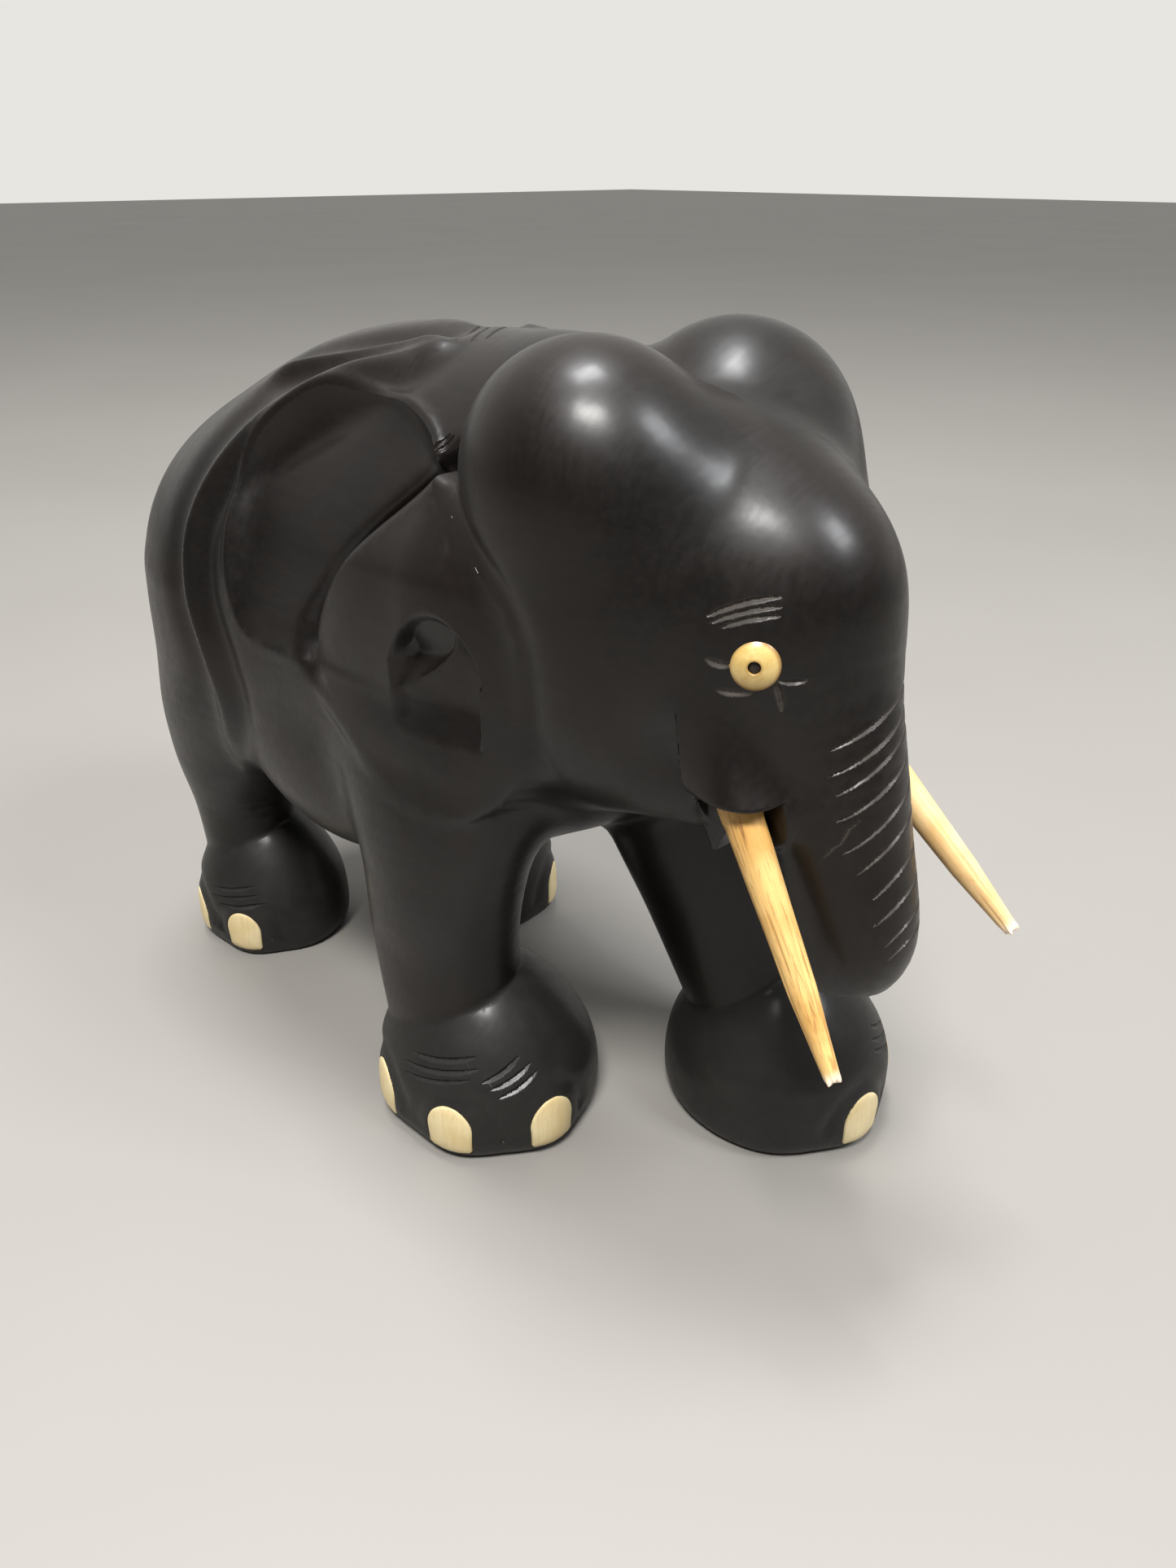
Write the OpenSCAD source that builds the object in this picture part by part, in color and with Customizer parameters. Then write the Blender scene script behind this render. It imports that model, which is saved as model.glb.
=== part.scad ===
// Carved ebony elephant, walking, with peg tusks, inlaid eyes and inlaid toenails.
// Millimetres. +X is the way the elephant faces, +Y its left, +Z up.
// The origin is on the table, under the middle of the whole figure.

/* [Figure] */
// Height from the soles to the top of the two domes of the head
height = 240; // [120:1:480]
// Width of the glue line round an inlaid nail or eye
glue_line = 0.05; // [0.03:0.01:0.2]

/* [Tusks] */
// Length of the tusk that shows
tusk_show = 67; // [50:1:80]
// Length of the peg inside its socket
tusk_peg = 14; // [8:1:16]
// Diameter of the peg, and of the tusk where it leaves the lip
tusk_d = 10.4; // [8:0.1:12]
// Diameter of the blunt tip
tusk_tip_d = 4.4; // [2:0.1:7]
// Angle of the right tusk below level
tusk_dip = 55; // [44:1:60]
// How many degrees less the left tusk dips, as it was fitted by hand
tusk_left_lift = 13; // [0:1:14]
// Angle that each tusk spreads outwards
tusk_spread = 9; // [4:1:14]
// How much shorter the left tusk is
tusk_left_short = 7; // [0:1:14]
// Radial clearance of the peg in its socket
tusk_clearance = 0.05; // [0.02:0.01:0.1]

/* [Eyes] */
// Diameter of the eye bead
eye_d = 11.6; // [8:0.1:12]
// Depth that the bead goes into the head
eye_depth = 5; // [3:0.1:7]
// How far the bead's dome stands out of the head
eye_dome = 2.2; // [1:0.1:3]
// Diameter of the dark pupil pin
pupil_d = 2.8; // [1.5:0.1:4]

/* [Toenails] */
// Width of a front toenail
nail_w = 15; // [10:0.5:17]
// Height of a front toenail
nail_h = 17.5; // [14:0.5:20]
// Size of a rear toenail as a share of a front one
nail_rear_share = 0.94; // [0.8:0.01:1]
// Height of the strip of wood left under a toenail
nail_lift = 3.2; // [1:0.1:4]
// Depth of a toenail's pocket
nail_depth = 5; // [3:0.1:7]

/* [Hidden] */
$fn = 48;
SIDES = ["right", "left"];

// Everything below is drawn for a figure DESIGN_H high, from the middle of the body,
// and grow() brings it to the real height over the origin.
DESIGN_H = 240;
MID_X = 19.85;
K = height / DESIGN_H;

// Rings across the body and down the trunk:
// [x, y, z, pitch of the ring, half its width, half its height]
TORSO = [
    [-137, 0, 148, 0, 7, 10], [-132, 0, 148, 0, 32, 32], [-116, 0, 146, 0, 55, 52],
    [-88, 0, 144, 0, 68, 67], [-52, 0, 147, 0, 70, 78.8], [-14, 0, 148, 0, 64, 84.8],
    [22, 0, 152.8, 0, 61, 79.5], [56, 0, 160, 0, 56, 67], [82, 0, 165, 0, 48, 55],
    [103, 0, 168, 0, 30, 36], [109, 0, 168, 0, 8, 10]
];
TRUNK = [
    [88, 0, 190, 20, 27, 28], [112, 0, 178, 42, 28, 29], [129, 0, 160, 64, 23, 23],
    [137, 0, 143, 74, 19.5, 20], [143, 0, 125, 77, 18, 18.5], [149, 0, 107, 84, 17.5, 18],
    [149, 0, 95, 100, 16, 17], [145, 0, 86, 130, 11, 12], [142, 0, 83, 150, 4, 5]
];
// Rings of the tail from its tuft up: [x, y, z, half width, half depth]. It lies against
// the right thigh.
TAIL = [
    [-110, -46, 54, 2, 2], [-111, -46, 62, 5, 5.5], [-115, -43, 78, 5.5, 6],
    [-122, -34, 96, 4, 4.5], [-127, -20, 122, 4, 4.5], [-131, -8, 152, 4.5, 5],
    [-128, -2, 176, 5, 5]
];
// Swellings, each [centre, radii]: the nape, the skull and the root of the trunk, then
// the dome, temple, cheek, jaw, brow, two parts of the ear and the belly, on both sides
SKULL = [[[48, 0, 205], [40, 30, 28.5]], [[95, 0, 182], [46, 42, 46]], [[122, 0, 181], [27.5, 26.5, 31]]];
PAIRED = [
    [[80, 26, 210], [32, 30, 30]], [[82, 24, 190], [38, 29, 38]], [[84, 24, 165], [40, 28, 43]],
    [[104, 20, 160], [32, 17, 36]], [[122, 16, 178], [17, 15, 17]], [[48, 52, 168], [46, 12, 36]],
    [[70, 50, 150], [24, 10, 28]], [[-25, 30, 102], [48, 30, 33]]
];

// Where each foot stands: [x, y, radius, length over width]
FOOT = [[41, -35, 35, 1.08], [105, 35, 35, 1.08], [-96, -36, 28.6, 1.08], [-50, 36, 28.6, 1.08]];
// Rings of a foot: [height, radius as a share of the foot's]
FOOT_RINGS = [[0, 0.92], [4, 1], [20, 0.98], [33, 0.83], [43.4, 0.64]];
// Rings of each leg above its ankle: [x, y, z, half length, half width]
LEG = [
    [[32, -39, 30, 24, 22], [30, -41, 60, 26, 21], [34, -42, 88, 28, 23], [34, -38, 120, 38, 27],
     [36, -32, 146, 30, 22]],
    [[97, 34, 30, 24, 22], [82, 32, 60, 28, 23], [67, 31, 92, 36, 26], [59, 33, 122, 38, 27],
     [54, 32, 146, 30, 22]],
    [[-101, -38, 30, 20, 18], [-101, -39, 55, 20, 19], [-95, -40, 82, 30, 24],
     [-84, -40, 112, 40, 27], [-78, -36, 146, 34, 24]],
    [[-56, 38, 30, 20, 18], [-60, 39, 55, 20, 19], [-66, 40, 82, 30, 24],
     [-72, 40, 112, 40, 27], [-78, 36, 146, 34, 24]]
];

// Tusk sockets and eyes on the left side: where the axis leaves the wood
TUSK_ROOT = [132, 26, 139];
EYE_AT = [133.7, 26.6, 176.1];
EYE_YAW = 55;
EYE_PITCH = -4;

// Toenails of each foot: angles round it from straight ahead towards the outer side
NAILS = [[6, 59, 112], [-4, 50, 104], [54, 112], [34, 96]];

// ---- curves and lofts ----

function spline(a, b, c, d, t) =
    0.5 * ((2 * b) + (c - a) * t + (2 * a - 5 * b + 4 * c - d) * t * t
        + (3 * b - a - 3 * c + d) * t * t * t);

// Adds rings between the given ones along a smooth curve
function smooth(rows, steps = 2) =
    let (last = len(rows) - 1)
    [
        for (i = [0:last - 1], j = [0:steps - 1])
            spline(rows[max(i - 1, 0)], rows[i], rows[i + 1], rows[min(i + 2, last)], j / steps),
        rows[last]
    ];

// A ring across the body, tipped forwards by its pitch
function cross_ring(r, n) = [
    for (i = [0:n - 1])
        let (a = 360 * i / n, out = r[4] * cos(a), up = r[5] * sin(a))
        [r[0] + up * sin(r[3]), r[1] + out, r[2] + up * cos(r[3])]
];

// A level ring of a leg, foot or tail, for rings that climb
function level_ring(r, n) = [
    for (i = [0:n - 1])
        let (a = 360 * i / n)
        [r[0] + r[3] * cos(a), r[1] + r[4] * sin(a), r[2]]
];

// Closed skin over rings of points, each anticlockwise as seen from the next
module skin(rings) {
    n = len(rings[0]);
    m = len(rings);
    sides = [
        for (j = [0:m - 2], i = [0:n - 1])
            let (k = (i + 1) % n)
            each [[j * n + i, (j + 1) * n + i, (j + 1) * n + k], [j * n + i, (j + 1) * n + k, j * n + k]]
    ];
    first = [for (i = [0:n - 1]) i];
    last = [for (i = [n - 1:-1:0]) (m - 1) * n + i];
    polyhedron([for (r = rings) each r], concat([first], sides, [last]), convexity = 6);
}

module across(rows, n = 20) {
    skin([for (r = smooth(rows)) cross_ring(r, n)]);
}

module upright(rows, n = 18) {
    skin([for (r = smooth(rows)) level_ring(r, n)]);
}

module swelling(s, side = 1) {
    translate([s[0][0], side * s[0][1], s[0][2]])
        scale(s[1])
            sphere(1, $fn = 20);
}

module grow() {
    scale(K)
        translate([-MID_X, 0, 0])
            children();
}

function mirror_sign(side) = side == "left" ? 1 : -1;

// ---- the block of ebony ----

module foot(f, proud = 0) {
    translate([f[0], f[1], 0])
        skin([
            for (r = smooth(FOOT_RINGS))
                level_ring([0, 0, r[0], f[2] * r[1] * f[3] + proud, f[2] * r[1] + proud], 24)
        ]);
}

module head() {
    for (s = SKULL) swelling(s);
    for (side = [-1, 1], s = PAIRED) swelling(s, side);
    across(TRUNK);
}

module rough_block() {
    across(TORSO, 28);
    head();
    upright(TAIL, 8);
    for (i = [0:len(FOOT) - 1]) {
        foot(FOOT[i]);
        upright(LEG[i]);
    }
}

module carving() {
    color("#1d1a19")
        difference() {
            resize([0, 0, height], auto = true)
                grow() rough_block();
            grow() {
                for (side = SIDES) {
                    tusk_axis(side)
                        translate([0, 0, -tusk_peg])
                            cylinder(d = tusk_d + 2 * tusk_clearance, h = tusk_peg + 12);
                    eye_axis(side)
                        translate([0, 0, -eye_depth])
                            cylinder(d = eye_d + 2 * glue_line, h = eye_depth + 12);
                    for (a = NAILS[front(side)]) nail_plug(FOOT[front(side)], side, a, glue_line, 20);
                    for (a = NAILS[rear(side)]) nail_plug(FOOT[rear(side)], side, a, glue_line, 20);
                }
            }
        }
}

function front(side) = side == "right" ? 0 : 1;
function rear(side) = side == "right" ? 2 : 3;

// ---- tusks ----

module tusk_axis(side) {
    s = mirror_sign(side);
    dip = side == "left" ? tusk_dip - tusk_left_lift : tusk_dip;
    translate([TUSK_ROOT[0], s * TUSK_ROOT[1], TUSK_ROOT[2]])
        rotate([0, 0, s * tusk_spread])
            rotate([0, 90 + dip, 0])
                children();
}

// A straight peg below the lip, then a long taper with a rounded blunt tip
module tusk(side) {
    tip_r = tusk_tip_d / 2;
    show = side == "left" ? tusk_show - tusk_left_short : tusk_show;
    color("#e2c58c")
        grow() tusk_axis(side)
            rotate_extrude()
                polygon([
                    [0, -tusk_peg + 0.5], [tusk_d / 2 - 0.6, -tusk_peg + 0.5], [tusk_d / 2, -tusk_peg + 1.2],
                    [tusk_d / 2, 1], [tusk_d * 0.44, show * 0.3], [tusk_d * 0.37, show * 0.66],
                    [tip_r, show - tip_r * 0.6], [tip_r * 0.6, show], [0, show]
                ]);
}

// ---- eyes ----

module eye_axis(side) {
    s = mirror_sign(side);
    translate([EYE_AT[0], s * EYE_AT[1], EYE_AT[2]])
        rotate([0, 0, s * EYE_YAW])
            rotate([0, 90 + EYE_PITCH, 0])
                children();
}

// A bead with a domed face, drilled through for its pupil
module eye(side) {
    ball_r = (eye_d * eye_d / 4 + eye_dome * eye_dome) / (2 * eye_dome);
    color("#d9bd7c")
        grow() eye_axis(side)
            difference() {
                intersection() {
                    translate([0, 0, -eye_depth + 0.1])
                        cylinder(d = eye_d, h = eye_depth + eye_dome);
                    translate([0, 0, eye_dome - ball_r])
                        sphere(ball_r);
                    translate([0, 0, -eye_depth + 0.1])
                        cylinder(d = 3 * eye_d, h = 3 * eye_d);
                }
                translate([0, 0, -eye_depth - 1])
                    cylinder(d = pupil_d + 2 * glue_line, h = 3 * eye_depth);
            }
}

module pupil_pin(side) {
    color("#15110f")
        grow() eye_axis(side)
            translate([0, 0, -eye_depth + 0.1])
                cylinder(d = pupil_d, h = eye_depth + eye_dome - 0.6);
}

// ---- toenails ----

// An arch-topped plug that points out of the foot at this angle from straight ahead
module nail_plug(f, side, angle, gap, reach) {
    share = f[2] < FOOT[0][2] ? nail_rear_share : 1;
    w = nail_w * share + 2 * gap;
    h = nail_h * share;
    s = mirror_sign(side);
    far = f[2] * sqrt(pow(cos(angle) * f[3], 2) + pow(sin(angle), 2));
    translate([f[0], f[1], nail_lift])
        rotate([0, 0, s * angle])
            translate([far - nail_depth - gap, 0, -gap])
                rotate([90, 0, 90])
                    linear_extrude(reach) {
                        translate([-w / 2, 0])
                            square([w, h - w / 2 + 2 * gap]);
                        translate([0, h - w / 2 + 2 * gap])
                            circle(d = w);
                    }
}

module toenail(f, side, angle) {
    color("#e8dcae")
        grow() intersection() {
            nail_plug(f, side, angle, 0, nail_depth + 4);
            foot(f, 0.25);
        }
}

// ---- nodes ----

carving();
for (s = SIDES) {
    tusk(s);
    eye(s);
    pupil_pin(s);
    for (i = [1:3])
        toenail(FOOT[front(s)], s, NAILS[front(s)][i - 1]);
    for (i = [1:2])
        toenail(FOOT[rear(s)], s, NAILS[rear(s)][i - 1]);
}
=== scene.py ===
"""Carved ebony elephant with pale tusks, bead eyes and inlaid toenails.

The block is sculpted as a distance field in millimetres, in the frame of the carving's
own design (its back along X, the animal's right side towards -Y), and then meshed.
"""
import math

import bpy
import numpy as np
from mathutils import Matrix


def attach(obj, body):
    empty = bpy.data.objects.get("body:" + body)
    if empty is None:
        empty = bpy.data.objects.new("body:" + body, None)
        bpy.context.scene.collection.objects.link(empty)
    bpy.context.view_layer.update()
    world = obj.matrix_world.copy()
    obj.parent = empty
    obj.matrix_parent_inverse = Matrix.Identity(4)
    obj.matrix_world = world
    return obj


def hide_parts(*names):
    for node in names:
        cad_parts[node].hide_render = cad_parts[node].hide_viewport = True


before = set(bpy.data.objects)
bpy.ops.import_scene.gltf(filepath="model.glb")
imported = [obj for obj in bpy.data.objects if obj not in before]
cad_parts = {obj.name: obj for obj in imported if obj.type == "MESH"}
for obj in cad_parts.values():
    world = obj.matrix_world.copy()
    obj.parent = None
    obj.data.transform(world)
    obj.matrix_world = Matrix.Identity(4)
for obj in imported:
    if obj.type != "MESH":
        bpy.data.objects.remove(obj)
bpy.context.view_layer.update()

MM = 0.001
MID_X = 19.85  # the design's X that stands over the model's origin
FAR = 60.0  # a distance that is never on the surface

# The block's mesh: the grid's corners and pitch, the rounds of splitting, the bend in degrees
# that splits an edge, and the shortest edge
BLOCK_LOW, BLOCK_HIGH = (-142, -76, -4), (172, 76, 244)
GRID, ROUNDS, BEND, SHORTEST = ((2.5, 3, 16, 0.5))

# ---------------------------------------------------------------- camera and light

CAMERA_AT = (264.15, -216.0, 274.0)
CAMERA_TURN = 47.1
CAMERA_PITCH = 28.0
CAMERA_LENS = 27.03
WALL_WAY = (-0.687, 0.641, 0.342)  # from the figure to the middle of the pale wall
LAMP_AIM = (0.05, -0.02, 0.16)
LAMP_FAR = 1.8
# Each lamp: name, azimuth and height in degrees, size in metres, watts and colour
LAMPS = [
    ("lamp_right", -55, 62, (0.56, 0.36), 54.0, (1, 0.985, 0.96)),
    ("lamp_over", 160, 80, (0.52, 0.36), 32.0, (0.98, 0.985, 1)),
    ("lamp_ahead", 24, 48, (0.5, 0.5), 22.0, (0.95, 0.975, 1))
]


def add_camera():
    data = bpy.data.cameras.new("camera")
    data.lens = CAMERA_LENS
    data.sensor_fit = "VERTICAL"
    data.sensor_height = 36.0
    data.clip_start = 0.01
    data.clip_end = 20.0
    cam = bpy.data.objects.new("camera", data)
    cam.location = [c * MM for c in CAMERA_AT]
    cam.rotation_euler = (math.radians(90 - CAMERA_PITCH), 0, math.radians(CAMERA_TURN))
    bpy.context.collection.objects.link(cam)
    bpy.context.scene.camera = cam


def add_area(name, at, aim, size, power, color):
    data = bpy.data.lights.new(name, "AREA")
    data.shape = "RECTANGLE"
    data.size, data.size_y = size
    data.energy = power
    data.color = color
    lamp = bpy.data.objects.new(name, data)
    lamp.location = at
    way = [a - b for a, b in zip(aim, at)]
    flat = math.hypot(way[0], way[1])
    lamp.rotation_euler = (math.atan2(flat, -way[2]), 0, math.atan2(way[1], way[0]) - math.pi / 2)
    bpy.context.collection.objects.link(lamp)


def add_world():
    """A pale wall behind the figure, fading to a dim room in front of it."""
    world = bpy.data.worlds.new("room")
    bpy.context.scene.world = world
    world.use_nodes = True
    tree = world.node_tree
    way = tree.nodes.new("ShaderNodeTexCoord")
    toward = tree.nodes.new("ShaderNodeVectorMath")
    toward.operation = "DOT_PRODUCT"
    toward.inputs[1].default_value = WALL_WAY
    tree.links.new(way.outputs["Generated"], toward.inputs[0])
    fade = tree.nodes.new("ShaderNodeMapRange")
    fade.interpolation_type = "SMOOTHSTEP"
    for key, number in (("From Min", -0.35), ("From Max", 0.8), ("To Min", 0.14), ("To Max", 0.80)):
        fade.inputs[key].default_value = number
    tree.links.new(toward.outputs["Value"], fade.inputs["Value"])
    back = tree.nodes["Background"]
    back.inputs["Color"].default_value = (1.0, 0.985, 0.94, 1)
    tree.links.new(fade.outputs["Result"], back.inputs["Strength"])


def lamp_place(middle, azimuth, height):
    """Where a lamp stands round the middle, in a direction given in degrees."""
    a, e = math.radians(azimuth), math.radians(height)
    way = (math.cos(e) * math.cos(a), math.cos(e) * math.sin(a), math.sin(e))
    return tuple(m + LAMP_FAR * w for m, w in zip(middle, way))


def add_lights():
    add_world()
    for name, azimuth, height, size, power, color in LAMPS:
        add_area(name, lamp_place(LAMP_AIM, azimuth, height), LAMP_AIM, size, power, color)


# ---------------------------------------------------------------- curves and blends

def smooth_rows(rows, steps):
    """Rows added along a smooth curve through the given ones."""
    p = np.array(rows, float)
    last = len(p) - 1
    out = []
    for i in range(last):
        a, b, c, d = p[max(i - 1, 0)], p[i], p[i + 1], p[min(i + 2, last)]
        for j in range(steps):
            t = j / steps
            out.append(0.5 * (2 * b + (c - a) * t + (2 * a - 5 * b + 4 * c - d) * t * t
                              + (3 * b - a - 3 * c + d) * t ** 3))
    out.append(p[last])
    return np.array(out)


def union(a, b, k):
    h = np.clip(0.5 + 0.5 * (b - a) / k, 0, 1)
    return b + (a - b) * h - k * h * (1 - h)


def cut(a, b, k):
    """What is left of a when b is taken away."""
    return -union(-a, b, k)


def step(lo, hi, v):
    t = np.clip((v - lo) / (hi - lo), 0, 1)
    return t * t * (3 - 2 * t)


def bell(v, width):
    return np.exp(-(v / width) ** 2)


def side_of(P):
    """The point folded onto the animal's right side, so that -Y is outwards."""
    Q = P.copy()
    Q[:, 1] = -np.abs(Q[:, 1])
    return Q


# ---------------------------------------------------------------- plain solids

def ellipsoid(P, centre, radii):
    q = (P - centre) / radii
    k0 = np.sqrt((q * q).sum(1))
    q /= radii
    return k0 * (k0 - 1) / np.maximum(np.sqrt((q * q).sum(1)), 1e-6)


def chain(P, rows):
    """A run of round cones along rows of [x, y, z, radius]."""
    best = np.full(len(P), FAR)
    for a, b in zip(rows[:-1], rows[1:]):
        way = b[:3] - a[:3]
        t = np.clip((P - a[:3]) @ way / (way @ way), 0, 1)
        gap = P - a[:3] - t[:, None] * way
        best = np.minimum(best, np.sqrt((gap * gap).sum(1)) - a[3] - (b[3] - a[3]) * t)
    return best


def polygon(u, v, corners):
    """Signed distance in a plane to a closed outline, negative inside."""
    p = np.array(corners, float)
    best = np.full(len(u), 1e9)
    inside = np.zeros(len(u), bool)
    for (ax, ay), (bx, by) in zip(p, np.roll(p, -1, 0)):
        ex, ey = bx - ax, by - ay
        wx, wy = u - ax, v - ay
        t = np.clip((wx * ex + wy * ey) / (ex * ex + ey * ey), 0, 1)
        best = np.minimum(best, (wx - ex * t) ** 2 + (wy - ey * t) ** 2)
        crosses = (ay > v) != (by > v)
        if ay != by:
            inside ^= crosses & (u < ax + (v - ay) * ex / ey)
    return np.where(inside, -1, 1) * np.sqrt(best)


def path_gap(u, v, rows):
    """Distance in a plane to a smooth open path, and how far along it (0 to 1) the
    nearest point lies."""
    best = np.full(len(u), 1e9)
    along = np.zeros(len(u))
    n = len(rows) - 1
    for i in range(n):
        (ax, ay), (bx, by) = rows[i], rows[i + 1]
        ex, ey = bx - ax, by - ay
        wx, wy = u - ax, v - ay
        t = np.clip((wx * ex + wy * ey) / (ex * ex + ey * ey), 0, 1)
        gap = (wx - ex * t) ** 2 + (wy - ey * t) ** 2
        near = gap < best
        best[near] = gap[near]
        along[near] = (i + t[near]) / n
    return np.sqrt(best), along


def within(P, lo, hi):
    return ((P > lo) & (P < hi)).all(1)


def local(P, lo, hi, shape):
    """The shape's distance where P lies inside the box, and a far one elsewhere."""
    out = np.full(len(P), FAR)
    m = within(P, lo, hi)
    if m.any():
        out[m] = shape(P[m])
    return out


# ---------------------------------------------------------------- the figure's tables

# Stations along the body: [x, middle z, half width, half height]
TORSO = [
    [-137.3, 148, 4, 6], [-132, 148, 32, 32], [-116, 146, 55, 52], [-88, 144, 66.5, 67],
    [-52, 147, 68.2, 78.8], [-14, 148, 64, 84.8], [22, 152.8, 61, 79.5], [56, 160, 56, 67],
    [82, 165, 48, 55], [103, 168, 30, 36], [109.5, 168, 6, 7]
]
# The trunk, root to tip: [x, y, z, radius]
TRUNK = [
    [112, 0, 176, 27], [128, 0, 160, 22.5], [137, 0, 143, 19.2], [142.5, 0, 125, 18],
    [147.5, 0, 109, 17.2], [149, 0, 101, 16.4], [147.5, 0, 96, 15]
]
# The tail from its root to its tuft: [x, y, z, radius]
TAIL = [
    [-127, -2, 178, 4.6], [-131, -8, 154, 4.6], [-127.5, -20, 124, 4.1], [-122, -34, 98, 4.1],
    [-116, -43, 80, 5.2], [-112, -46, 65, 5.2], [-110, -46, 55, 2.2]
]
# Each foot: [x, y, radius]
FEET = {
    "front_right": [41, -35, 35.0], "front_left": [105, 35, 35.0],
    "rear_right": [-96, -36, 28.6], "rear_left": [-50, 36, 28.6]
}
FOOT_LENGTH = 1.08
# Profile of a foot: [height, radius as a share of the foot's]
FOOT_PROFILE = [
    [-6, 0.90], [0, 0.93], [5, 0.99], [12, 1.0], [20, 0.975], [27, 0.915], [34, 0.81], [40, 0.69],
    [46, 0.53], [51, 0.34], [55, 0.05]
]
# Each leg, floor to body: [x, y, z, half length, half width]
LEGS = {
    "front_right": [[32, -39, 30, 24, 22], [30, -41, 60, 26, 21], [34, -42, 88, 28, 23],
                    [34, -38, 120, 38, 27], [36, -32, 146, 30, 22]],
    "front_left": [[97, 34, 30, 24, 22], [82, 32, 60, 28, 23], [67, 31, 92, 36, 26],
                   [59, 33, 122, 38, 27], [54, 32, 146, 30, 22]],
    "rear_right": [[-101, -38, 30, 20, 18], [-101, -39, 55, 20, 19], [-95, -40, 82, 30, 24],
                   [-84, -40, 112, 40, 27], [-78, -36, 146, 34, 24]],
    "rear_left": [[-56, 38, 30, 20, 18], [-60, 39, 55, 20, 19], [-66, 40, 82, 30, 24],
                  [-72, 40, 112, 40, 27], [-78, 36, 146, 34, 24]]
}
# Toenails of each foot: angles round it from straight ahead towards the outer side
NAIL_ANGLES = {
    "front_right": [6, 59, 112], "front_left": [-4, 50, 104],
    "rear_right": [54, 112], "rear_left": [34, 96]
}
NAIL_W, NAIL_H, NAIL_LIFT = 15.0, 17.5, 3.2
NAIL_SHARE = {"front": 1.0, "rear": 0.94}

TUSK_ROOT = np.array([132.0, -26.0, 139.0])
TUSK_SPREAD = 9.0
TUSK_DIP = {"right": 55.0, "left": 42.0}
TUSK_SHOW = {"right": 67.0, "left": 60.0}
TUSK_PEG, TUSK_R, TUSK_TIP_R = 14.0, 5.2, 2.2
SOCKET_R = TUSK_R + 0.05

EYE_AT = np.array([133.7, -26.6, 176.1])
EYE_YAW, EYE_PITCH = 55.0, -4.0
EYE_R, EYE_DOME, EYE_DEPTH, PUPIL_R = 5.8, 2.2, 5.0, 1.4


def sign_of(side):
    return 1 if side == "left" else -1


def tusk_frame(side):
    """Where the tusk's axis leaves the wood, and its way outwards."""
    s = sign_of(side)
    dip, yaw = math.radians(TUSK_DIP[side]), math.radians(TUSK_SPREAD)
    way = [math.cos(dip) * math.cos(yaw), s * math.cos(dip) * math.sin(yaw), -math.sin(dip)]
    return np.array([TUSK_ROOT[0], s * abs(TUSK_ROOT[1]), TUSK_ROOT[2]]), np.array(way)


def eye_frame():
    """Axes of the right eye: towards the trunk, up, and out of the head."""
    yaw, up = math.radians(EYE_YAW), math.radians(-EYE_PITCH)
    out = np.array([math.cos(up) * math.cos(yaw), -math.cos(up) * math.sin(yaw), math.sin(up)])
    ahead = np.cross([0.0, 0.0, 1.0], out)
    ahead /= np.linalg.norm(ahead)
    return ahead, np.cross(out, ahead), out


EYE_AHEAD, EYE_UP, EYE_OUT = eye_frame()


# ---------------------------------------------------------------- body

torso_rows = smooth_rows([[r[0], r[1], r[2] ** 2, (r[2] / r[3]) ** 2] for r in TORSO], 10)
# past its ends the body's squared width goes on falling below nothing, which closes it
torso_rows = np.vstack([[-145, 148, -1200, 1], torso_rows, [118, 168, -900, 0.8]])
torso_slopes = np.gradient(torso_rows, torso_rows[:, 0], axis=0)


def torso(P):
    x, y, z = P.T
    mid, wide, ratio = (np.interp(x, torso_rows[:, 0], torso_rows[:, i]) for i in (1, 2, 3))
    dmid, dwide, dratio = (np.interp(x, torso_rows[:, 0], torso_slopes[:, i]) for i in (1, 2, 3))
    h = z - mid
    f = y * y + ratio * h * h - wide
    gx = dratio * h * h - 2 * ratio * h * dmid - dwide
    slope = np.sqrt(gx * gx + 4 * y * y + 4 * (ratio * h) ** 2)
    return f / np.maximum(slope, 8.0)


# Lines of the flank are drawn on the body unrolled round its long axis: x along it, and
# the angle above level times this radius
ROLL_Z, ROLL_R = 147.0, 70.0


def unroll(P):
    return P[:, 0], ROLL_R * np.arctan2(P[:, 2] - ROLL_Z, np.abs(P[:, 1]))


def rolled(points):
    """Unrolled curve through [x, degrees above level] pairs."""
    rows = smooth_rows(points, 5)
    rows[:, 1] = np.radians(rows[:, 1]) * ROLL_R
    return rows


# The long crest that runs from the shoulders back over the rump and down the flank
CREST = rolled([
    [22, 81], [4, 72], [-9, 67], [-24, 60], [-36, 52], [-48, 39], [-55, 24], [-54, 8], [-49, -9],
    [-51, -24], [-62, -42], [-72, -57], [-70, -74]
])
# A fainter crest along the spine
SPINE_CREST = rolled([[14, 80], [2, 77], [-18, 74], [-40, 69], [-58, 64]])
# The hollow behind the shoulder: its crisp rim, closed under the ear
HOLLOW = rolled([
    [44, 52], [36, 59], [22, 63], [5, 64], [-14, 62], [-26, 56], [-34, 48], [-37, 38], [-36, 25],
    [-34, 12], [-28, 2], [-10, 0], [14, 2], [40, 4], [62, 20], [60, 40]
])


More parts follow.
